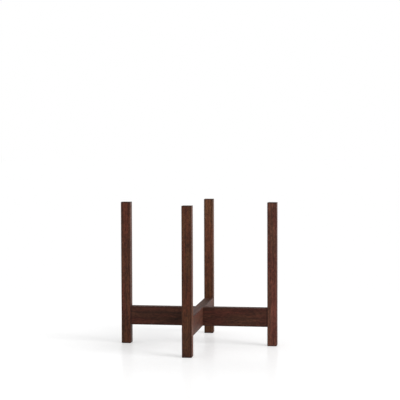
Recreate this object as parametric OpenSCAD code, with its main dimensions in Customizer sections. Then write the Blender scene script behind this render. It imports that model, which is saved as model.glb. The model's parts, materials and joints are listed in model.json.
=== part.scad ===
// Plant stand: four square legs joined by two rails that cross in the middle.
// Millimetres, +Z up. The origin is on the floor, straight below the middle of the cross.
// One rail runs left to right along X, the other front to back along Y.
// The ends of each rail butt against the inner faces of two opposite legs, on pairs of dowels.

/* [Legs] */
// Side of a leg's square section
leg_w = 20; // [17:0.5:26]
// Height of a leg, from the floor to its top end
leg_h = 299; // [200:1:420]
// Distance between the centre lines of two opposite legs
leg_spread = 309; // [240:1:420]
// Radius that eases a leg's long edges
leg_edge_r = 1.2; // [0.5:0.1:2.5]
// Radius round a leg's foot end
foot_edge_r = 1.8; // [0.6:0.1:4]
// Radius round a leg's top end
top_edge_r = 0.8; // [0.4:0.1:2.5]

/* [Rails] */
// Height of a rail's section, which stands on edge
rail_h = 39; // [30:0.5:50]
// Height of the rails' underside over the floor
rail_ground_gap = 40; // [15:1:120]
// Setback of a rail's side faces behind the legs' side faces
rail_reveal = 0.5; // [0:0.1:3]
// Radius that eases a rail's long edges
rail_edge_r = 1; // [0.4:0.1:2.5]

/* [Cross lap] */
// Gap between a notch's cheek and the rail that crosses there
lap_side_gap = 0.1; // [0.05:0.05:0.4]
// Gap between the floors of the two notches, with the rails' tops flush
lap_floor_gap = 0.2; // [0.05:0.05:0.6]
// Bevel along a notch's mouth, which leads the other rail in
lap_mouth_bevel = 0.4; // [0.2:0.1:0.8]

/* [Dowels] */
// Diameter of a dowel over its ribs
dowel_d = 6; // [4:0.5:8]
// Length of a dowel
dowel_len = 30; // [24:1:40]
// Depth that a dowel goes into the leg
dowel_in_leg = 11.5; // [8:0.5:13]
// Distance between the centre lines of the two dowels of a joint
dowel_pitch = 20; // [14:1:22]
// Bevel round a dowel's ends
dowel_bevel = 0.8; // [0.4:0.1:1.5]
// Number of glue grooves along a dowel
groove_count = 12; // [8:1:16]
// Radius of a glue groove, whose centre line lies on the dowel's skin
groove_r = 0.3; // [0.2:0.05:0.4]
// Gap between a dowel's ribs and the wall of its hole
dowel_glue_gap = 0.05; // [0.02:0.01:0.15]
// Spare depth of a hole past the dowel's end, where surplus glue collects
hole_spare = 1; // [0.5:0.25:2]
// Size of the countersink at a hole's mouth
hole_countersink = 0.5; // [0.2:0.1:1]

/* [Hidden] */
// Fineness of the curves
$fn = 64;
// Overshoot of a cutting shape past the face that it opens
past = 1;

rail_t = leg_w - 2 * rail_reveal;
rail_len = leg_spread - leg_w;
rail_mid_z = rail_ground_gap + rail_h / 2;
lap_w = rail_t + 2 * lap_side_gap;
lap_depth = (rail_h + lap_floor_gap) / 2;
dowel_in_rail = dowel_len - dowel_in_leg;
dowel_low = rail_mid_z - dowel_pitch / 2;
dowel_high = rail_mid_z + dowel_pitch / 2;
hole_r = dowel_d / 2 + dowel_glue_gap;

// Turns about Z that carry a piece drawn on the +X side to each side of the stand
RIGHT = 0;
BACK = 90;
LEFT = 180;
FRONT = 270;

// Turns about a rail's length that point its notch
NOTCH_UP = 0;
NOTCH_DOWN = 180;

LEG_STAIN = [0.30, 0.19, 0.15];
RAIL_STAIN = [0.25, 0.16, 0.13];
DOWEL_BEECH = [0.80, 0.66, 0.47];

// Outline w wide and h high about the origin. Its two lower corners have one radius and its two
// upper corners another.
module rounded_outline(w, h, lower_r, upper_r) {
    for (side = [-1, 1]) {
        translate([side * (w / 2 - lower_r), lower_r - h / 2])
            circle(r = lower_r);
        translate([side * (w / 2 - upper_r), h / 2 - upper_r])
            circle(r = upper_r);
    }
    translate([lower_r - w / 2, -h / 2])
        square([w - 2 * lower_r, h / 2]);
    translate([upper_r - w / 2, 0])
        square([w - 2 * upper_r, h / 2]);
    translate([-w / 2, lower_r - h / 2])
        square([w, h - lower_r - upper_r]);
}

// Leg's outline as seen from the side, drawn through the leg with some to spare
module leg_elevation() {
    rotate([90, 0, 0])
        linear_extrude(height = leg_w + 2 * past, center = true)
            rounded_outline(leg_w, leg_h, foot_edge_r, top_edge_r);
}

// Leg before it is bored, about its own middle. The square plan is crossed with the elevation
// from two sides, which eases the long edges and rounds both ends.
module leg_blank() {
    intersection() {
        linear_extrude(height = leg_h, center = true)
            rounded_outline(leg_w, leg_w, leg_edge_r, leg_edge_r);
        leg_elevation();
        rotate(90)
            leg_elevation();
    }
}

// Hole for one dowel along X, drawn about the point where the dowel crosses from the rail into
// the leg. One profile is turned for both halves, with a countersink at each mouth.
module dowel_hole() {
    rail_bottom = -dowel_in_rail - hole_spare;
    leg_bottom = dowel_in_leg + hole_spare;
    rotate([0, 90, 0])
        rotate_extrude()
            polygon([
                [0, rail_bottom],
                [hole_r, rail_bottom],
                [hole_r, -hole_countersink],
                [hole_r + hole_countersink, 0],
                [hole_r, hole_countersink],
                [hole_r, leg_bottom],
                [0, leg_bottom]
            ]);
}

// The two dowel holes of one joint, on the +X side
module joint_holes() {
    for (z = [dowel_low, dowel_high])
        translate([rail_len / 2, 0, z])
            dowel_hole();
}

// Cut of the cross lap, drawn about the middle of a rail that lies along X and opening upward
module lap_notch() {
    floor_z = rail_h / 2 - lap_depth;
    mouth_z = rail_h / 2 - lap_mouth_bevel;
    mouth_x = lap_w / 2 + lap_mouth_bevel + past;
    rotate([90, 0, 0])
        linear_extrude(height = rail_t + 2 * past, center = true)
            polygon([
                [-lap_w / 2, floor_z],
                [lap_w / 2, floor_z],
                [lap_w / 2, mouth_z],
                [mouth_x, rail_h / 2 + past],
                [-mouth_x, rail_h / 2 + past],
                [-lap_w / 2, mouth_z]
            ]);
}

module leg(side) {
    color(LEG_STAIN)
        rotate(side)
            difference() {
                translate([leg_spread / 2, 0, leg_h / 2])
                    leg_blank();
                joint_holes();
            }
}

// Rail whose length is turned to the given side, with its notch up or down
module rail(side, notch_turn) {
    color(RAIL_STAIN)
        rotate(side)
            difference() {
                translate([0, 0, rail_mid_z])
                    difference() {
                        rotate([90, 0, 90])
                            linear_extrude(height = rail_len, center = true)
                                rounded_outline(rail_t, rail_h, rail_edge_r, rail_edge_r);
                        rotate([notch_turn, 0, 0])
                            lap_notch();
                    }
                for (end = [RIGHT, LEFT])
                    rotate(end)
                        joint_holes();
            }
}

// Grooved dowel at height z in the joint of the given side
module dowel(side, z) {
    ribs_r = dowel_d / 2;
    tip_r = ribs_r - dowel_bevel;
    color(DOWEL_BEECH)
        rotate(side)
            translate([rail_len / 2 - dowel_in_rail, 0, z])
                rotate([0, 90, 0])
                    difference() {
                        rotate_extrude()
                            polygon([
                                [0, 0],
                                [tip_r, 0],
                                [ribs_r, dowel_bevel],
                                [ribs_r, dowel_len - dowel_bevel],
                                [tip_r, dowel_len],
                                [0, dowel_len]
                            ]);
                        for (i = [0 : groove_count - 1])
                            rotate(i * 360 / groove_count)
                                translate([ribs_r, 0, -past])
                                    cylinder(h = dowel_len + 2 * past, r = groove_r);
                    }
}

module front_leg() leg(FRONT);
module back_leg() leg(BACK);
module left_leg() leg(LEFT);
module right_leg() leg(RIGHT);

module left_right_rail() rail(RIGHT, NOTCH_UP);
module front_back_rail() rail(BACK, NOTCH_DOWN);

module front_lower_dowel() dowel(FRONT, dowel_low);
module front_upper_dowel() dowel(FRONT, dowel_high);
module back_lower_dowel() dowel(BACK, dowel_low);
module back_upper_dowel() dowel(BACK, dowel_high);
module left_lower_dowel() dowel(LEFT, dowel_low);
module left_upper_dowel() dowel(LEFT, dowel_high);
module right_lower_dowel() dowel(RIGHT, dowel_low);
module right_upper_dowel() dowel(RIGHT, dowel_high);

front_leg();
back_leg();
left_leg();
right_leg();
left_right_rail();
front_back_rail();
front_lower_dowel();
front_upper_dowel();
back_lower_dowel();
back_upper_dowel();
left_lower_dowel();
left_upper_dowel();
right_lower_dowel();
right_upper_dowel();
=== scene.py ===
"""Studio picture of a plant stand with four square legs and two crossed rails.

The stand's pieces come in with their shapes and places settled. This script cuts each of them
from a board of its own, stains and lacquers it, and sets the stand on a white floor in soft
light. Lengths are in metres, +Z is up, and the stand's middle on the floor is the origin.
"""
from __future__ import annotations

import json
import logging
import math
from dataclasses import dataclass
from enum import Enum
from typing import Mapping, Sequence, Union

import bpy
from mathutils import Euler, Matrix, Vector

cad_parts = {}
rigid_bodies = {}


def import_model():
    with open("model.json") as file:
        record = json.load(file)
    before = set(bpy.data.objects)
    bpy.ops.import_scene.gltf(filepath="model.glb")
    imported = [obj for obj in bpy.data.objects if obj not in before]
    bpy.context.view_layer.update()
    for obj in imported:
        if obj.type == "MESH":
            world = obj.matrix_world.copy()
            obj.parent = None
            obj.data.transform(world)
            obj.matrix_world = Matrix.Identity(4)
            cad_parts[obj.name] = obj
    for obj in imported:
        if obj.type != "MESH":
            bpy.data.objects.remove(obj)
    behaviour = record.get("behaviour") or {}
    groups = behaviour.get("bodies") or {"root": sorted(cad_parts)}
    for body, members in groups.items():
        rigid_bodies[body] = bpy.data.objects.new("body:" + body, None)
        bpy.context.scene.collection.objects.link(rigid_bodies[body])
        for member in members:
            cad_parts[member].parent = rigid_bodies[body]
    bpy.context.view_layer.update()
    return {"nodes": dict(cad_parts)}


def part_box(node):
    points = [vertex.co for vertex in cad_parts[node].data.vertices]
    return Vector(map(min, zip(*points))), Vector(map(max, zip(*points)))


LOG = logging.getLogger("plant_stand")

Socket = bpy.types.NodeSocket
Value = Union[float, Sequence[float], Socket]
Colour = tuple[float, float, float]
Triple = tuple[float, float, float]
Span = tuple[float, float]

# What a noise texture gives on average
NOISE_MIDDLE = 0.5
# Tone of a wood's body colour, between its shade at 0 and its glow at 1
BODY_TONE = 0.5
# Places of the Mix node's colour sockets, whose names it uses more than once
MIX_SHARE, MIX_FIRST, MIX_SECOND, MIX_RESULT = 0, 6, 7, 2


class SocketKind(Enum):
    """Kinds of input that the effect groups have."""

    NUMBER = "NodeSocketFloat"
    VECTOR = "NodeSocketVector"


class Op(Enum):
    """Sums that the Math and Vector Math nodes do."""

    ABSOLUTE = "ABSOLUTE"
    ADD = "ADD"
    DIVIDE = "DIVIDE"
    FLOOR = "FLOOR"
    FRACT = "FRACT"
    LENGTH = "LENGTH"
    MAXIMUM = "MAXIMUM"
    MINIMUM = "MINIMUM"
    MULTIPLY = "MULTIPLY"
    MULTIPLY_ADD = "MULTIPLY_ADD"
    POWER = "POWER"
    SCALE = "SCALE"
    SUBTRACT = "SUBTRACT"


class Ease(Enum):
    """How a ramp runs from its low end to its high end."""

    STRAIGHT = "LINEAR"
    SMOOTH = "SMOOTHSTEP"


class Laying(Enum):
    """How one colour is laid on another."""

    COVER = "MIX"
    TINT = "MULTIPLY"


class Graph:
    """Short ways to add and join the nodes of one shader tree."""

    def __init__(self, tree: bpy.types.NodeTree) -> None:
        """Starts work on a tree."""
        self.tree = tree

    def node(
        self,
        kind: str,
        inputs: Mapping[Union[str, int], Value] | None = None,
        **settings: object,
    ) -> bpy.types.Node:
        """Adds one node.

        Args:
            kind: The node's type name, without its "ShaderNode" start.
            inputs: What each input socket gets: a value, or an output socket to join to it.
            **settings: Properties of the node itself.

        Returns:
            The new node.
        """
        added = self.tree.nodes.new("ShaderNode" + kind)
        for name, setting in settings.items():
            setattr(added, name, setting)
        for name, value in (inputs or {}).items():
            self.feed(added.inputs[name], value)
        return added

    def feed(self, target: Socket, value: Value) -> None:
        """Joins an output socket to an input, or sets the input's value.

        Args:
            target: The input socket.
            value: An output socket, or the value to set.
        """
        if isinstance(value, Socket):
            self.tree.links.new(value, target)
            return
        target.default_value = value

    def math(self, op: Op, *values: Value) -> Socket:
        """Returns the result of a Math node, whose inputs are given in order."""
        return self.node("Math", dict(enumerate(values)), operation=op.value).outputs[0]

    def vector(self, op: Op, *values: Value) -> Socket:
        """Returns the vector of a Vector Math node, whose inputs are given in order."""
        return self.node("VectorMath", dict(enumerate(values)), operation=op.value).outputs[0]

    def scaled(self, vector: Value, factor: Value) -> Socket:
        """Returns a vector times a number."""
        inputs = {0: vector, "Scale": factor}
        return self.node("VectorMath", inputs, operation=Op.SCALE.value).outputs[0]

    def length(self, vector: Value) -> Socket:
        """Returns the length of a vector."""
        return self.node("VectorMath", {0: vector}, operation=Op.LENGTH.value).outputs["Value"]

    def split(self, vector: Value) -> tuple[Socket, Socket, Socket]:
        """Returns a vector's three components."""
        parts = self.node("SeparateXYZ", {0: vector}).outputs
        return parts[0], parts[1], parts[2]

    def join(self, x: Value, y: Value, z: Value) -> Socket:
        """Returns the vector of three components."""
        return self.node("CombineXYZ", {0: x, 1: y, 2: z}).outputs[0]

    def between(self, share: Value, low: float, high: float) -> Socket:
        """Returns the number that lies a share of the way from low to high."""
        return self.math(Op.MULTIPLY_ADD, share, high - low, low)

    def stretched(self, point: Value, width: Value, length: Value) -> Socket:
        """Counts a place in cells that are long along the grain.

        Args:
            point: The place, with the grain along Z.
            width: A cell's size across the grain.
            length: A cell's size along the grain.

        Returns:
            The place in cells.
        """
        across = self.math(Op.DIVIDE, 1.0, width)
        along = self.math(Op.DIVIDE, 1.0, length)
        return self.vector(Op.MULTIPLY, point, self.join(across, across, along))

    def noise(self, place: Value, layers: float = 2.0, crispness: float = 0.5) -> Socket:
        """Returns a noise of one cell to the unit, with most of it between 0.3 and 0.7."""
        inputs = {"Vector": place, "Scale": 1.0, "Detail": layers, "Roughness": crispness}
        return self.node("TexNoise", inputs).outputs[0]

    def drift(self, place: Value) -> Socket:
        """Returns a vector of three slow noises of one cell to the unit, each about 0."""
        noise = self.node("TexNoise", {"Vector": place, "Scale": 1.0, "Detail": 1.0}).outputs[1]
        return self.vector(Op.SUBTRACT, noise, (NOISE_MIDDLE,) * 3)

    def ramp(self, value: Value, low: Value, high: Value, ease: Ease = Ease.SMOOTH) -> Socket:
        """Turns a value that passes from low to high into 0 to 1.

        Args:
            value: The value to read.
            low: The value that gives 0.
            high: The value that gives 1, which may be less than the other.
            ease: How the ramp runs between them.

        Returns:
            The result, kept between 0 and 1.
        """
        inputs = {"Value": value, "From Min": low, "From Max": high}
        return self.node("MapRange", inputs, interpolation_type=ease.value).outputs[0]

    def blend(
        self, share: Value, first: Value, second: Value, laying: Laying = Laying.COVER
    ) -> Socket:
        """Lays a second colour on a first.

        Args:
            share: How much of the second colour is laid on, from 0 to 1.
            first: The colour underneath.
            second: The colour on top.
            laying: Whether the second colour covers the first or tints it.

        Returns:
            The mixed colour.
        """
        inputs = {MIX_SHARE: share, MIX_FIRST: first, MIX_SECOND: second}
        mixed = self.node("Mix", inputs, data_type="RGBA", blend_type=laying.value)
        return mixed.outputs[MIX_RESULT]


class Effect:
    """Shader node group with named inputs and outputs, which several materials place.

    Attributes:
        title: The group's name.
        takes: Name, kind and usual value of each input.
        gives: Names of the outputs, which are all numbers.
    """

    title = "effect"
    takes: tuple[tuple[str, SocketKind, Value], ...] = ()
    gives: tuple[str, ...] = ()

    def __init__(self) -> None:
        """Builds the group's sockets and nodes."""
        self.tree = bpy.data.node_groups.new(self.title, "ShaderNodeTree")
        sockets = self.tree.interface
        for name, kind, usual in self.takes:
            socket = sockets.new_socket(name, in_out="INPUT", socket_type=kind.value)
            socket.default_value = usual
        for name in self.gives:
            sockets.new_socket(name, in_out="OUTPUT", socket_type=SocketKind.NUMBER.value)
        self.given = self.tree.nodes.new("NodeGroupInput").outputs
        results = self.tree.nodes.new("NodeGroupOutput").inputs
        graph = Graph(self.tree)
        for name, value in self.draw(graph).items():
            graph.feed(results[name], value)

    def draw(self, graph: Graph) -> dict[str, Socket]:
        """Lays out the group's nodes in its own tree and returns what each output gives."""
        raise NotImplementedError

    def place(self, graph: Graph, **inputs: Value) -> Mapping[str, Socket]:
        """Places the group in a material.

        Args:
            graph: The material's tree.
            **inputs: Input values or sockets, named as the group names them in lower case
                with underscores.

        Returns:
            The group node's outputs by name.
        """
        placed = graph.node("Group", node_tree=self.tree)
        for name, value in inputs.items():
            graph.feed(placed.inputs[name.replace("_", " ").title()], value)
        return placed.outputs


class GrowthRings(Effect):
    """Yearly rings round a pith that lies outside the piece, wandering along the trunk.

    Attributes:
        drift_cells: Cells in a metre of the trunk's wandering, with the trunk along Z.
        late_power: How suddenly a year's dark late wood comes on.
        late_end: Share of a year's growth from which the late wood breaks off again.
    """

    title = "growth_rings"
    takes = (
        ("Point", SocketKind.VECTOR, (0.0, 0.0, 0.0)),
        ("Pith", SocketKind.VECTOR, (0.03, 0.02, 0.0)),
        ("Ring Gap", SocketKind.NUMBER, 0.005),
        ("Wander", SocketKind.NUMBER, 0.006),
    )
    gives = ("Ring", "Spring", "Year")
    drift_cells: Triple = (14.0, 14.0, 2.2)
    late_power: float = 4.0
    late_end: float = 0.94

    def draw(self, graph: Graph) -> dict[str, Socket]:
        """Measures the distance to the pith and folds it into rings.

        Args:
            graph: The group's own tree.

        Returns:
            Ring, which climbs through a year's growth to its dark late wood, Spring, which
            falls from 1 at the start of the year's growth to 0 at its end, and Year, a tone
            that changes from one year's growth to the next.
        """
        point = self.given["Point"]
        drift = graph.drift(graph.vector(Op.MULTIPLY, point, self.drift_cells))
        reach = graph.math(Op.DIVIDE, self.given["Wander"], NOISE_MIDDLE)
        bent = graph.vector(Op.ADD, point, graph.scaled(drift, reach))
        across = graph.vector(Op.SUBTRACT, bent, self.given["Pith"])
        across = graph.vector(Op.MULTIPLY, across, (1.0, 1.0, 0.0))
        years = graph.math(Op.DIVIDE, graph.length(across), self.given["Ring Gap"])
        growth = graph.math(Op.FRACT, years)
        late = graph.math(Op.POWER, growth, self.late_power)
        turn = graph.ramp(growth, 1.0, self.late_end)
        season = graph.math(Op.FLOOR, years)
        return {
            "Ring": graph.math(Op.MULTIPLY, late, turn),
            "Spring": graph.math(Op.SUBTRACT, 1.0, growth),
            "Year": graph.node("TexWhiteNoise", {"W": season}, noise_dimensions="1D").outputs[0],
        }


class Fibres(Effect):
    """Broad streaks, fine lines and short flecks of tone that run along the grain.

    Attributes:
        line_cells: Cells of the fine lines in a metre, with the grain along Z.
        crispness: Strength of the finer layers in the lines and the flecks.
    """

    title = "fibres"
    takes = (
        ("Point", SocketKind.VECTOR, (0.0, 0.0, 0.0)),
        ("Streak Width", SocketKind.NUMBER, 0.006),
        ("Streak Length", SocketKind.NUMBER, 0.25),
        ("Fleck Width", SocketKind.NUMBER, 0.0025),
        ("Fleck Length", SocketKind.NUMBER, 0.008),
    )
    gives = ("Streak", "Line", "Fleck")
    line_cells: Triple = (2200.0, 2200.0, 30.0)
    crispness: float = 0.6

    def draw(self, graph: Graph) -> dict[str, Socket]:
        """Stretches noise along the grain at three widths.

        Args:
            graph: The group's own tree.

        Returns:
            Streak, the broad change of tone, Line, the fine one, and Fleck, the short one,
            each about 0.5.
        """
        point = self.given["Point"]
        broad = graph.stretched(point, self.given["Streak Width"], self.given["Streak Length"])
        short = graph.stretched(point, self.given["Fleck Width"], self.given["Fleck Length"])
        fine = graph.vector(Op.MULTIPLY, point, self.line_cells)
        return {
            "Streak": graph.noise(broad),
            "Line": graph.noise(fine, crispness=self.crispness),
            "Fleck": graph.noise(short, crispness=self.crispness),
        }


class StainClouds(Effect):
    """Soft patches where the wood drank more or less stain, and where it leans red or gold.

    Attributes:
        cloud_layers: Number of finer layers in the clouds.
        cloud_crispness: Strength of those layers.
        warmth_scale: Cells of the lean to a cell of the clouds, with the grain along Z.
        warmth_shift: Cells between the two noises, which keeps them unlike each other.
    """

    title = "stain_clouds"
    takes = (
        ("Point", SocketKind.VECTOR, (0.0, 0.0, 0.0)),
        ("Width", SocketKind.NUMBER, 0.009),
        ("Length", SocketKind.NUMBER, 0.045),
    )
    gives = ("Cloud", "Warmth")
    cloud_layers: float = 3.0
    cloud_crispness: float = 0.55
    warmth_scale: Triple = (0.6, 0.6, 0.5)
    warmth_shift: Triple = (7.3, 2.9, 5.1)

    def draw(self, graph: Graph) -> dict[str, Socket]:
        """Lays out two slow noises, the second wider than the first.

        Args:
            graph: The group's own tree.

        Returns:
            Cloud, the depth of the stain, and Warmth, its lean to gold, each about 0.5.
        """
        place = graph.stretched(self.given["Point"], self.given["Width"], self.given["Length"])
        wide = graph.vector(Op.MULTIPLY_ADD, place, self.warmth_scale, self.warmth_shift)
        return {
            "Cloud": graph.noise(place, self.cloud_layers, self.cloud_crispness),
            "Warmth": graph.noise(wide, layers=1.0),
        }


class Pores(Effect):
    """Open pores, which show as short dark dashes along the grain and as dots on end grain.

    Attributes:
        highest: Level of the noise that would leave no pores at all.
        rim: How far the noise climbs from a pore's rim to its full depth.
    """

    title = "pores"
    takes = (
        ("Point", SocketKind.VECTOR, (0.0, 0.0, 0.0)),
        ("Width", SocketKind.NUMBER, 0.0002),
        ("Length", SocketKind.NUMBER, 0.0048),
        ("Cover", SocketKind.NUMBER, 0.18),
    )
    gives = ("Pore",)
    highest: float = 0.72
    rim: float = 0.045

    def draw(self, graph: Graph) -> dict[str, Socket]:
        """Keeps the peaks of a noise that is stretched along the grain.

        Args:
            graph: The group's own tree.

        Returns:
            Pore, which is 1 in a pore and 0 between pores.
        """
        spread = graph.stretched(self.given["Point"], self.given["Width"], self.given["Length"])
        level = graph.math(Op.SUBTRACT, self.highest, self.given["Cover"])
        peak = graph.math(Op.ADD, level, self.rim)
        return {"Pore": graph.ramp(graph.noise(spread, layers=1.0), level, peak)}


class Arrises(Effect):
    """The eased edges and sawn ends of a squared piece, where stain gathers and soaks in.

    Attributes:
        edge_cells: Cells in a metre of the gathered stain's ragged border.
        edge_fray: How far that border wanders.
        soak_cells: Cells in a metre of the soaked stain's frayed border.
        soak_fray: How far that border wanders.
        end_seam: Where end grain takes over from long grain, across the sawn edge.
    """

    title = "arrises"
    takes = (
        ("Point", SocketKind.VECTOR, (0.0, 0.0, 0.0)),
        ("Half Size", SocketKind.VECTOR, (0.01, 0.01, 0.1)),
        ("Reach", SocketKind.NUMBER, 0.002),
        ("Soak", SocketKind.NUMBER, 0.005),
    )
    gives = ("Edge", "End", "Soaked")
    edge_cells: Triple = (300.0, 300.0, 60.0)
    edge_fray: float = 0.001
    soak_cells: Triple = (420.0, 420.0, 40.0)
    soak_fray: float = 0.006
    end_seam: Span = (-0.0002, 0.0004)

    def draw(self, graph: Graph) -> dict[str, Socket]:
        """Reads how near a point lies to the piece's edges and to its sawn ends.

        Args:
            graph: The group's own tree.

        Returns:
            Edge, which is 1 on an edge and fades over the reach, End, which is 1 on the end
            grain, and Soaked, which is 1 at an end and fades along the piece.
        """
        point = self.given["Point"]
        inside = graph.vector(Op.SUBTRACT, self.given["Half Size"], graph.vector(Op.ABSOLUTE, point))
        x, y, z = graph.split(inside)
        nearest = graph.math(Op.MINIMUM, graph.math(Op.ADD, x, y), graph.math(Op.ADD, y, z))
        nearest = graph.math(Op.MINIMUM, nearest, graph.math(Op.ADD, x, z))
        ragged = self.wandering(graph, self.edge_cells, self.edge_fray)
        edge = graph.ramp(graph.math(Op.ADD, nearest, ragged), self.given["Reach"], 0.0)
        side = graph.math(Op.MINIMUM, x, y)
        end = graph.ramp(graph.math(Op.SUBTRACT, side, z), *self.end_seam)
        frayed = self.wandering(graph, self.soak_cells, self.soak_fray)
        soaked = graph.ramp(graph.math(Op.SUBTRACT, z, frayed), self.given["Soak"], 0.0)
        return {"Edge": edge, "End": end, "Soaked": soaked}

    def wandering(self, graph: Graph, cells: Triple, fray: float) -> Socket:
        """Makes a border wander in and out.

        Args:
            graph: The group's own tree.
            cells: Cells of the wandering in a metre.
            fray: How far it runs from its innermost to its outermost.

        Returns:
            The border's shift, about 0.
        """
        noise = graph.noise(graph.vector(Op.MULTIPLY, self.given["Point"], cells))
        return graph.math(Op.MULTIPLY_ADD, noise, fray, -fray * NOISE_MIDDLE)


@dataclass(frozen=True)
class Effects:
    """The effect groups that the timber finishes share."""

    rings: GrowthRings
    fibres: Fibres
    clouds: StainClouds
    pores: Pores
    arrises: Arrises


class Grain(Enum):
    """Row axis that a piece's grain runs along, as the turn that carries Z to it."""

    ALONG_X = (0.0, math.pi / 2, 0.0)
    ALONG_Y = (-math.pi / 2, 0.0, 0.0)
    ALONG_Z = (0.0, 0.0, 0.0)


@dataclass(frozen=True)
class Board:
    """Where in a log a piece was cut, how it took the stain, and what light and shade is painted
    into its colour.

    Attributes:
        grain: Axis of the piece's length.
        station: Place along the log, which keeps two pieces from having the same figure.
        pith: Distance from the piece's middle to the log's pith, across the grain.
        stain_and_light_tint: Shares of the usual colour: how the board took the stain, with painted
            light and shade.
        lift: How much paler the piece is at its far or upper end than at its middle.
        soak: How far the stain soaked in from the lower or near end, and from the other.
        side_highlight_share: Painted highlight on the faces that look along X, as a share of the
            others.
    """

    grain: Grain
    station: float
    pith: Span = (0.03, 0.02)
    stain_and_light_tint: Colour = (1.0, 1.0, 1.0)
    lift: float = 0.0
    soak: Span = (0.0045, 0.0045)
    side_highlight_share: float = 1.0


@dataclass(frozen=True)
class Figure:
    """What shows in the faces of one piece of timber, as sockets of its material.

    Attributes:
        rings: What the growth rings give.
        fibres: What the fibres give.
        clouds: What the stain clouds give.
        pore: 1 in a pore and 0 between pores.
        arrises: What the arrises give.
        height: Distance past the piece's middle, along its grain.
        half_length: Half the piece's length.
    """

    rings: Mapping[str, Socket]
    fibres: Mapping[str, Socket]
    clouds: Mapping[str, Socket]
    pore: Socket
    arrises: Mapping[str, Socket]
    height: Socket
    half_length: float


@dataclass(frozen=True)
class StainedTimber:
    """Dark stained hardwood under a thin satin lacquer.

    Attributes:
        shade, body, glow: The stained wood where it is darkest, usual and palest.
        pore: The stain that fills a pore.
        gathered: The stain that gathers on the edges.
        red_lean, gold_lean: Tints between which the wood's colour leans.
        lean_span: Span of the clouds' warmth over which it leans from one to the other.
        ring_gap, wander: Gap between two rings, and how far they wander along the trunk.
        streak_width, streak_length: Size of a broad streak.
        cloud_width, cloud_length: Size of a cloud in the stain.
        tone_level: Tone of the wood before its figure, on the scale of BODY_TONE.
        ring_depth to line_depth: How strongly each part of the figure changes the tone.
        pore_cover: Cover of the pores in late wood and in spring wood.
        pore_depth: Share of a pore's colour that shows.
        edge_reach, edge_depth: Reach of the gathered stain, and share of it that shows.
        soaked_depth, end_depth: How much darker the soaked wood and the end grain are.
        side_highlight_span: Span of the turn to X over which a face takes that painted highlight.
        roughness: Roughness of the lacquer.
        pore_roughness, line_roughness, end_roughness: What each of these adds to it.
        ring_relief, line_relief: Height of each, where a pore's depth is 1.
        relief_strength, relief_depth: How strongly the relief shows, and a pore's depth.
        specular: How strongly the lacquer shines.
    """

    shade: Colour = (0.0287, 0.0100, 0.0054)
    body: Colour = (0.0618, 0.0218, 0.0108)
    glow: Colour = (0.1165, 0.0418, 0.0205)
    pore: Colour = (0.012, 0.0050, 0.0034)
    gathered: Colour = (0.022, 0.0080, 0.0048)
    red_lean: Colour = (1.04, 0.885, 0.935)
    gold_lean: Colour = (0.97, 1.13, 1.05)
    lean_span: Span = (0.3, 0.7)
    ring_gap: float = 0.0034
    wander: float = 0.007
    streak_width: float = 0.0045
    streak_length: float = 0.14
    cloud_width: float = 0.009
    cloud_length: float = 0.040
    tone_level: float = 0.74
    ring_depth: float = 0.75
    year_depth: float = 0.20
    cloud_depth: float = 1.42
    streak_depth: float = 0.90
    fleck_depth: float = 1.80
    line_depth: float = 0.90
    pore_cover: Span = (0.11, 0.25)
    pore_depth: float = 0.80
    edge_reach: float = 0.0026
    edge_depth: float = 0.60
    soaked_depth: float = 0.26
    end_depth: float = 0.30
    side_highlight_span: Span = (0.5, 0.9)
    roughness: float = 0.50
    pore_roughness: float = 0.15
    line_roughness: float = 0.12
    end_roughness: float = 0.12
    ring_relief: float = 0.35
    line_relief: float = 0.5
    relief_strength: float = 0.5
    relief_depth: float = 0.00008
    specular: float = 0.13

    def material(self, name: str, board: Board, node: str, effects: Effects) -> bpy.types.Material:
        """Makes the finish of one piece, cut from its own board.

        Args:
            name: The material's name.
            board: Where the piece was cut.
            node: The piece's name in the frame, which gives its place and size.
            effects: The shared effect groups.

        Returns:
            The new material.
        """
        made, graph = blank_material(name)
        figure = self.figure(graph, board, node, effects)
        surface(
            graph,
            {
                "Base Color": self.stained(graph, board, figure),
                "Roughness": self.sheen(graph, figure),
                "Normal": self.relief(graph, figure),
                "Specular IOR Level": self.specular,
            },
        )
        return made

    def figure(self, graph: Graph, board: Board, node: str, effects: Effects) -> Figure:
        """Places the shared effects for one piece.

        Args:
            graph: The material's tree.
            board: Where the piece was cut.
            node: The piece's name in the frame.
            effects: The shared effect groups.

        Returns:
            What shows in the piece's faces.
        """
        point, half = board_point(graph, board, node)
        rings = effects.rings.place(
            graph,
            point=point,
            pith=(*board.pith, 0.0),
            ring_gap=self.ring_gap,
            wander=self.wander,
        )
        fibres = effects.fibres.place(
            graph, point=point, streak_width=self.streak_width, streak_length=self.streak_length
        )
        clouds = effects.clouds.place(
            graph, point=point, width=self.cloud_width, length=self.cloud_length
        )
        cover = graph.between(rings["Spring"], *self.pore_cover)
        pores = effects.pores.place(graph, point=point, cover=cover)
        middle = graph.vector(Op.SUBTRACT, point, (0.0, 0.0, board.station))
        height = graph.split(middle)[2]
        along = graph.ramp(height, -half.z, half.z, Ease.STRAIGHT)
        arrises = effects.arrises.place(
            graph,
            point=middle,
            half_size=half,
            reach=self.edge_reach,
            soak=graph.between(along, *board.soak),
        )
        return Figure(rings, fibres, clouds, pores["Pore"], arrises, height, half.z)

    def tone(self, graph: Graph, figure: Figure) -> Socket:
        """Adds up the lights and darks of the figure.

        Args:
            graph: The material's tree.
            figure: What shows in the piece's faces.

        Returns:
            The tone, where 0 is the shade, BODY_TONE the body and 1 the glow.
        """
        ring = figure.rings["Ring"]
        tone = graph.math(Op.MULTIPLY_ADD, ring, -self.ring_depth, self.tone_level)
        for mark, depth in (
            (figure.rings["Year"], self.year_depth),
            (figure.clouds["Cloud"], self.cloud_depth),
            (figure.fibres["Streak"], self.streak_depth),
            (figure.fibres["Fleck"], self.fleck_depth),
            (figure.fibres["Line"], self.line_depth),
        ):
            tone = graph.math(Op.MULTIPLY_ADD, centred(graph, mark), depth, tone)
        return tone

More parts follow.
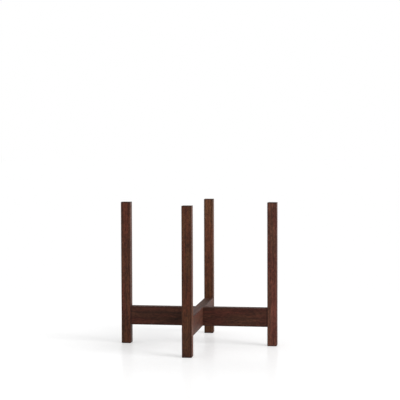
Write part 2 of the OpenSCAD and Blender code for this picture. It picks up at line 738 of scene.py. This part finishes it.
    def wood(self, graph: Graph, figure: Figure) -> Socket:
        """Colours the tone, leans it to red or gold, and fills the pores.

        Args:
            graph: The material's tree.
            figure: What shows in the piece's faces.

        Returns:
            The colour of the wood's open faces.
        """
        tone = self.tone(graph, figure)
        lit = graph.ramp(tone, 0.0, BODY_TONE, Ease.STRAIGHT)
        glowing = graph.ramp(tone, BODY_TONE, 1.0, Ease.STRAIGHT)
        wood = graph.blend(lit, opaque(self.shade), opaque(self.body))
        wood = graph.blend(glowing, wood, opaque(self.glow))
        warmth = graph.ramp(figure.clouds["Warmth"], *self.lean_span)
        lean = graph.blend(warmth, opaque(self.red_lean), opaque(self.gold_lean))
        wood = graph.blend(1.0, wood, lean, Laying.TINT)
        filled = graph.math(Op.MULTIPLY, figure.pore, self.pore_depth)
        return graph.blend(filled, wood, opaque(self.pore))

    def stained(self, graph: Graph, board: Board, figure: Figure) -> Socket:
        """Gathers stain on edges, soaks it into the ends, tints the board and paints in light and
        shade.

        Args:
            graph: The material's tree.
            board: Where the piece was cut.
            figure: What shows in the piece's faces.

        Returns:
            The colour of the whole piece.
        """
        gathered = graph.math(Op.MULTIPLY, figure.arrises["Edge"], self.edge_depth)
        stained = graph.blend(gathered, self.wood(graph, figure), opaque(self.gathered))
        share = graph.math(Op.MULTIPLY_ADD, figure.height, board.lift / figure.half_length, 1.0)
        share = graph.math(Op.MULTIPLY_ADD, figure.arrises["Soaked"], -self.soaked_depth, share)
        share = graph.math(Op.MULTIPLY_ADD, figure.arrises["End"], -self.end_depth, share)
        # Painted highlight: faces that look along X are made paler, for the lamp's light and sheen
        # on them.
        facing = graph.split(graph.node("TexCoord").outputs["Normal"])[0]
        side_highlighted = graph.ramp(graph.math(Op.ABSOLUTE, facing), *self.side_highlight_span)
        share = graph.math(Op.MULTIPLY_ADD, side_highlighted, board.side_highlight_share - 1.0, share)
        # Painted light and shade: the board's tint also stands in for the light that each piece
        # catches.
        return graph.blend(1.0, stained, graph.scaled(board.stain_and_light_tint, share), Laying.TINT)

    def sheen(self, graph: Graph, figure: Figure) -> Socket:
        """Roughens the lacquer in the pores, along the lines and on the end grain.

        Args:
            graph: The material's tree.
            figure: What shows in the piece's faces.

        Returns:
            The roughness.
        """
        line = centred(graph, figure.fibres["Line"])
        rough = graph.math(Op.MULTIPLY_ADD, figure.pore, self.pore_roughness, self.roughness)
        rough = graph.math(Op.MULTIPLY_ADD, line, self.line_roughness, rough)
        return graph.math(Op.MULTIPLY_ADD, figure.arrises["End"], self.end_roughness, rough)

    def relief(self, graph: Graph, figure: Figure) -> Socket:
        """Sinks the pores, and raises the late wood and the lines a little.

        Args:
            graph: The material's tree.
            figure: What shows in the piece's faces.

        Returns:
            The normal.
        """
        height = graph.math(Op.MULTIPLY, figure.pore, -1.0)
        height = graph.math(Op.MULTIPLY_ADD, figure.rings["Ring"], self.ring_relief, height)
        height = graph.math(Op.MULTIPLY_ADD, figure.fibres["Line"], self.line_relief, height)
        inputs = {
            "Strength": self.relief_strength,
            "Distance": self.relief_depth,
            "Height": height,
        }
        return graph.node("Bump", inputs).outputs[0]


@dataclass(frozen=True)
class BareBeech:
    """Pale unfinished beech of the dowels, with its small flecks.

    Attributes:
        body, pale: The wood, and the palest of its streaks.
        fleck: The wood's small dark flecks.
        streak_width, streak_length: Size of a streak.
        streak_span: Span of the streaks' tone over which they turn pale.
        streak_depth: Share of the pale colour that shows.
        fleck_width, fleck_length: Size of a fleck.
        fleck_cover: Cover of the flecks.
        fleck_depth: Share of a fleck's colour that shows.
        roughness, line_roughness: Roughness of the wood, and what its lines change in it.
        relief_depth: Height of the lines.
    """

    body: Colour = (0.56, 0.36, 0.19)
    pale: Colour = (0.66, 0.50, 0.28)
    fleck: Colour = (0.38, 0.21, 0.10)
    streak_width: float = 0.002
    streak_length: float = 0.03
    streak_span: Span = (0.3, 0.7)
    streak_depth: float = 0.3
    fleck_width: float = 0.0004
    fleck_length: float = 0.002
    fleck_cover: float = 0.16
    fleck_depth: float = 0.6
    roughness: float = 0.62
    line_roughness: float = 0.2
    relief_depth: float = 0.00005

    def material(self, name: str, board: Board, node: str, effects: Effects) -> bpy.types.Material:
        """Makes the finish of one dowel.

        Args:
            name: The material's name.
            board: Where the dowel was cut.
            node: The dowel's name in the frame, which gives its place and size.
            effects: The shared effect groups.

        Returns:
            The new material.
        """
        made, graph = blank_material(name)
        point, _ = board_point(graph, board, node)
        fibres = effects.fibres.place(
            graph, point=point, streak_width=self.streak_width, streak_length=self.streak_length
        )
        flecks = effects.pores.place(
            graph,
            point=point,
            width=self.fleck_width,
            length=self.fleck_length,
            cover=self.fleck_cover,
        )
        paled = graph.ramp(fibres["Streak"], *self.streak_span)
        paled = graph.math(Op.MULTIPLY, paled, self.streak_depth)
        wood = graph.blend(paled, opaque(self.body), opaque(self.pale))
        flecked = graph.math(Op.MULTIPLY, flecks["Pore"], self.fleck_depth)
        wood = graph.blend(flecked, wood, opaque(self.fleck))
        line = centred(graph, fibres["Line"])
        rough = graph.math(Op.MULTIPLY_ADD, line, self.line_roughness, self.roughness)
        bump = graph.node("Bump", {"Distance": self.relief_depth, "Height": fibres["Line"]})
        surface(graph, {"Base Color": wood, "Roughness": rough, "Normal": bump.outputs[0]})
        return made


def opaque(colour: Colour) -> tuple[float, float, float, float]:
    """Returns a colour with full alpha."""
    return (*colour, 1.0)


def centred(graph: Graph, noise: Socket) -> Socket:
    """Returns a noise so that it runs about 0."""
    return graph.math(Op.SUBTRACT, noise, NOISE_MIDDLE)


def blank_material(name: str) -> tuple[bpy.types.Material, Graph]:
    """Makes a material with an empty node tree.

    Args:
        name: The material's name.

    Returns:
        The material, and its tree ready for nodes.
    """
    made = bpy.data.materials.new(name)
    made.use_nodes = True
    made.node_tree.nodes.clear()
    return made, Graph(made.node_tree)


def surface(graph: Graph, inputs: Mapping[str, Value]) -> None:
    """Ends a material in a Principled shader with these inputs."""
    shader = graph.node("BsdfPrincipled", inputs)
    graph.node("OutputMaterial", {"Surface": shader.outputs[0]})


def board_point(graph: Graph, board: Board, node: str) -> tuple[Socket, Vector]:
    """Reads a surface point in its board, with the grain along Z.

    Args:
        graph: The material's tree.
        board: Where the piece was cut.
        node: The piece's name in the frame.

    Returns:
        The point, and half the piece's size across and along its grain.
    """
    low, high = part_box(node)
    turn = Euler(board.grain.value)
    inputs = {
        "Vector": graph.node("TexCoord").outputs["Object"],
        "Location": (low + high) / 2,
        "Rotation": turn,
    }
    local = graph.node("Mapping", inputs, vector_type="TEXTURE").outputs[0]
    half = turn.to_matrix().transposed() @ ((high - low) / 2)
    shifted = graph.vector(Op.ADD, local, (0.0, 0.0, board.station))
    return shifted, Vector(abs(size) for size in half)


def dress(piece: bpy.types.Object, material: bpy.types.Material) -> None:
    """Puts a material on every slot of a piece.

    Args:
        piece: The piece to dress.
        material: Its finish.
    """
    for slot in piece.material_slots:
        slot.material = material
    LOG.info("%s dressed in %s", piece.name, material.name)


@dataclass(frozen=True)
class SquaredPiece:
    """One leg or rail: its name in the frame and the board that it was cut from."""

    node: str
    board: Board


@dataclass
class SquaredWork:
    """Squared pieces that share a finish, each cut from a board of its own."""

    finish: StainedTimber
    pieces: tuple[SquaredPiece, ...]

    def build(self, nodes: Mapping[str, bpy.types.Object], effects: Effects) -> None:
        """Dresses each piece in timber of its own.

        Args:
            nodes: The frame's pieces by name.
            effects: The shared effect groups.
        """
        for piece in self.pieces:
            name = "stain_" + piece.node
            dress(nodes[piece.node], self.finish.material(name, piece.board, piece.node, effects))


@dataclass
class Legs(SquaredWork):
    """The four square legs that stand round the pot."""

    finish: StainedTimber = StainedTimber()
    pieces: tuple[SquaredPiece, ...] = (
        SquaredPiece(
            "front_leg",
            Board(
                grain=Grain.ALONG_Z,
                station=1.46,
                pith=(0.046, -0.031),
                stain_and_light_tint=(0.94, 0.87, 0.79),
                lift=0.08,
                # Darker over its lowest 18 mm, against 4.5 mm at its top.
                soak=(0.018, 0.0045),
                # Its faces that look along X carry a painted highlight.
                side_highlight_share=1.4,
            ),
        ),
        SquaredPiece(
            "left_leg",
            Board(
                grain=Grain.ALONG_Z,
                station=11.24,
                pith=(-0.038, 0.052),
                stain_and_light_tint=(1.07, 0.97, 1.02),
            ),
        ),
        SquaredPiece(
            "right_leg",
            Board(
                grain=Grain.ALONG_Z,
                station=5.22,
                pith=(0.029, 0.058),
                # Its tint is partly painted light: the leg is made paler and bluer for the light it
                # catches.
                stain_and_light_tint=(1.49, 1.43, 1.81),
            ),
        ),
        SquaredPiece(
            "back_leg",
            Board(
                grain=Grain.ALONG_Z,
                station=8.84,
                pith=(-0.061, -0.024),
                # Its tint is partly painted light: the leg is made paler for the light it catches.
                stain_and_light_tint=(1.37, 1.46, 1.37),
                lift=0.16,
            ),
        ),
    )


@dataclass
class CrossRails(SquaredWork):
    """The two rails that cross in the middle and carry the pot."""

    finish: StainedTimber = StainedTimber(roughness=0.56, fleck_depth=1.15, cloud_depth=1.20)
    pieces: tuple[SquaredPiece, ...] = (
        SquaredPiece(
            "left_right_rail",
            Board(
                grain=Grain.ALONG_X,
                station=17.43,
                pith=(0.020, 0.064),
                stain_and_light_tint=(0.84, 0.77, 0.92),
                lift=0.06,
            ),
        ),
        SquaredPiece(
            "front_back_rail",
            Board(
                grain=Grain.ALONG_Y,
                station=13.73,
                pith=(0.034, -0.057),
                stain_and_light_tint=(0.96, 0.95, 1.11),
            ),
        ),
    )


@dataclass
class Dowels:
    """The grooved dowels inside the joints, two at each leg.

    Attributes:
        finish: The dowels' bare wood.
        sides: The side of the stand that each joint is on, and the way that its dowels lie.
        levels: Names of the two dowels in a joint.
        station_step: Distance along the rod between the places where two dowels were cut.
    """

    finish: BareBeech = BareBeech()
    sides: tuple[tuple[str, Grain], ...] = (
        ("front", Grain.ALONG_Y),
        ("back", Grain.ALONG_Y),
        ("left", Grain.ALONG_X),
        ("right", Grain.ALONG_X),
    )
    levels: tuple[str, ...] = ("lower", "upper")
    station_step: float = 0.37

    def build(self, nodes: Mapping[str, bpy.types.Object], effects: Effects) -> None:
        """Dresses each dowel.

        Args:
            nodes: The frame's pieces by name.
            effects: The shared effect groups.
        """
        station = 0.0
        for side, grain in self.sides:
            for level in self.levels:
                station += self.station_step
                name = f"{side}_{level}_dowel"
                board = Board(grain=grain, station=station)
                dress(nodes[name], self.finish.material("beech_" + name, board, name, effects))


@dataclass
class StudioFloor:
    """White floor that runs to the horizon and takes the stand's shadow.

    Attributes:
        half_width: Half the floor's side.
        paint: How pale the paint is.
        near_level: What the floor shows round the stand, where 1 is white.
        rim_lift: How much more than that it shows where the shadow ends.
        rim_fade: Distances from the stand's middle between which it climbs to that.
        open_level: What the open floor shows.
        open_fade: Distances between which it comes down to that.
        gloss_share: Share of the floor's gloss.
        gloss_roughness: Roughness of the gloss.
    """

    half_width: float = 40.0
    paint: float = 0.76
    near_level: float = 1.085
    rim_lift: float = 0.06
    rim_fade: Span = (0.18, 0.45)
    open_level: float = 1.035
    open_fade: Span = (0.5, 1.1)
    gloss_share: float = 0.137
    gloss_roughness: float = 0.20

    def build(self, light_level: float) -> None:
        """Makes the floor and its material.

        Args:
            light_level: What the lights give the open floor, where 1 shows white as white.
        """
        reach = self.half_width
        corners = [(-reach, -reach, 0), (reach, -reach, 0), (reach, reach, 0), (-reach, reach, 0)]
        mesh = bpy.data.meshes.new("studio_floor")
        mesh.from_pydata(corners, [], [(0, 1, 2, 3)])
        floor = bpy.data.objects.new("studio_floor", mesh)
        bpy.context.scene.collection.objects.link(floor)
        mesh.materials.append(self.material(light_level))
        LOG.info("floor laid")

    def material(self, light_level: float) -> bpy.types.Material:
        """Makes the floor's paint.

        The floor is pale paint. What the camera and the gloss see has some plain white added,
        so that the floor is white but for the stand's shadow. A little more is added where the
        shadow ends, and less on the open floor, where it only has to reach white.

        Args:
            light_level: What the lights give the open floor.

        Returns:
            The new material.
        """
        made, graph = blank_material("white_floor")
        paint = graph.node("BsdfDiffuse", {"Color": opaque((self.paint,) * 3)})
        white = self.added_white(graph, light_level)
        white = graph.node("Emission", {"Strength": white})
        matt = graph.node("AddShader", {0: paint.outputs[0], 1: white.outputs[0]})
        gloss = graph.node("BsdfGlossy", {"Roughness": self.gloss_roughness})
        inputs = {0: self.gloss_share, 1: matt.outputs[0], 2: gloss.outputs[0]}
        mixed = graph.node("MixShader", inputs)
        graph.node("OutputMaterial", {"Surface": mixed.outputs[0]})
        return made

    def added_white(self, graph: Graph, light_level: float) -> Socket:
        """Measures the white to add by the distance from the stand's middle.

        Args:
            graph: The floor's tree.
            light_level: What the lights give the open floor.

        Returns:
            The white to add, which is none for light that lights other things.
        """
        away = graph.length(graph.node("TexCoord").outputs["Object"])
        near = self.near_level - self.paint * light_level
        settling = self.open_level - self.near_level - self.rim_lift
        rim = graph.ramp(away, *self.rim_fade)
        white = graph.math(Op.MULTIPLY_ADD, rim, self.rim_lift, near)
        opened = graph.ramp(away, *self.open_fade)
        white = graph.math(Op.MULTIPLY_ADD, opened, settling, white)
        return graph.math(Op.MULTIPLY, seen_directly(graph), white)


def seen_directly(graph: Graph) -> Socket:
    """Finds the light that is on its way to the camera, or to a gloss or a clear body.

    Args:
        graph: The tree of a material or the world.

    Returns:
        1 for such light and 0 for any other.
    """
    path = graph.node("LightPath").outputs
    seen = graph.math(Op.MAXIMUM, path["Is Camera Ray"], path["Is Glossy Ray"])
    return graph.math(Op.MAXIMUM, seen, path["Is Transmission Ray"])


@dataclass
class StudioLight:
    """One low soft lamp at the camera's right, and even light all round.

    Attributes:
        azimuth_deg: The lamp's bearing, from +X towards +Y.
        elevation_deg: The lamp's height over the floor.
        spread_deg: Angle that the lamp fills as the stand sees it.
        strength: The lamp's strength.
        surround: Strength of the even light, where 1 is white.
    """

    azimuth_deg: float = -20.0
    elevation_deg: float = 13.0
    spread_deg: float = 34.0
    strength: float = 3.2
    surround: float = 0.65

    @property
    def floor_level(self) -> float:
        """Light on the open floor, where 1 shows white as white."""
        return self.surround + self.strength * math.sin(math.radians(self.elevation_deg)) / math.pi

    def build(self) -> None:
        """Makes the lamp and the surrounding light."""
        lamp = bpy.data.lights.new("soft_key", "SUN")
        lamp.energy = self.strength
        lamp.angle = math.radians(self.spread_deg)
        key = bpy.data.objects.new("soft_key", lamp)
        bpy.context.scene.collection.objects.link(key)
        azimuth = math.radians(self.azimuth_deg)
        elevation = math.radians(self.elevation_deg)
        level = math.cos(elevation)
        towards = Vector(
            (level * math.cos(azimuth), level * math.sin(azimuth), math.sin(elevation))
        )
        key.rotation_euler = towards.to_track_quat("Z", "Y").to_euler()
        self.build_surround()
        LOG.info("lights hung")

    def build_surround(self) -> None:
        """Makes the world: white to look at, and dimmer as a light."""
        world = bpy.data.worlds.new("studio_surround")
        world.use_nodes = True
        world.node_tree.nodes.clear()
        graph = Graph(world.node_tree)
        level = graph.between(seen_directly(graph), self.surround, 1.0)
        inputs = {"Color": opaque((1.0, 1.0, 1.0)), "Strength": level}
        shine = graph.node("Background", inputs)
        graph.node("OutputWorld", {"Surface": shine.outputs[0]})
        bpy.context.scene.world = world


@dataclass
class StudioCamera:
    """Camera at the photograph's place, a little to the right of the stand's front.

    Attributes:
        azimuth_deg: The camera's bearing, from the stand's front towards its right.
        distance: Its distance from the stand's middle, on plan.
        side_step: How far it then stands to its own right.
        height: Its height over the floor.
        pitch_deg: How far it looks down.
        roll_deg: How far it is rolled.
        lens_mm: Length of its lens.
        sensor_mm: Width of its sensor.
    """

    azimuth_deg: float = 8.458
    distance: float = 2.4134
    side_step: float = 0.0027
    height: float = 0.4100
    pitch_deg: float = 2.533
    roll_deg: float = -0.180
    lens_mm: float = 103.89
    sensor_mm: float = 36.0

    def build(self) -> None:
        """Makes the camera and sets it as the scene's."""
        azimuth = math.radians(self.azimuth_deg)
        pitch = math.radians(self.pitch_deg)
        roll = math.radians(self.roll_deg)
        ahead = Vector((-math.sin(azimuth), math.cos(azimuth), 0.0))
        right = Vector((math.cos(azimuth), math.sin(azimuth), 0.0))
        up = Vector((0.0, 0.0, 1.0))
        place = right * self.side_step + up * self.height - ahead * self.distance
        view = ahead * math.cos(pitch) - up * math.sin(pitch)
        over = right.cross(view)
        frame_right = right * math.cos(roll) + over * math.sin(roll)
        frame_up = over * math.cos(roll) - right * math.sin(roll)
        data = bpy.data.cameras.new("studio_camera")
        data.lens = self.lens_mm
        data.sensor_width = self.sensor_mm
        camera = bpy.data.objects.new("studio_camera", data)
        bpy.context.scene.collection.objects.link(camera)
        axes = Matrix((frame_right, frame_up, -view)).transposed().to_4x4()
        camera.matrix_world = Matrix.Translation(place) @ axes
        bpy.context.scene.camera = camera
        LOG.info("camera set at %s", tuple(round(part, 4) for part in place))


def clear_stage() -> None:
    """Removes whatever objects the program started with."""
    for leftover in list(bpy.data.objects):
        bpy.data.objects.remove(leftover)


def main() -> None:
    """Builds the whole picture."""
    logging.basicConfig(level=logging.INFO, format="%(name)s: %(message)s")
    clear_stage()
    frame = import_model()
    effects = Effects(
        rings=GrowthRings(),
        fibres=Fibres(),
        clouds=StainClouds(),
        pores=Pores(),
        arrises=Arrises(),
    )
    for assembly in (Legs(), CrossRails(), Dowels()):
        assembly.build(frame["nodes"], effects)
    light = StudioLight()
    light.build()
    StudioFloor().build(light.floor_level)
    StudioCamera().build()
    bpy.context.scene.view_settings.view_transform = "Standard"


if __name__ == "__main__":
    main()
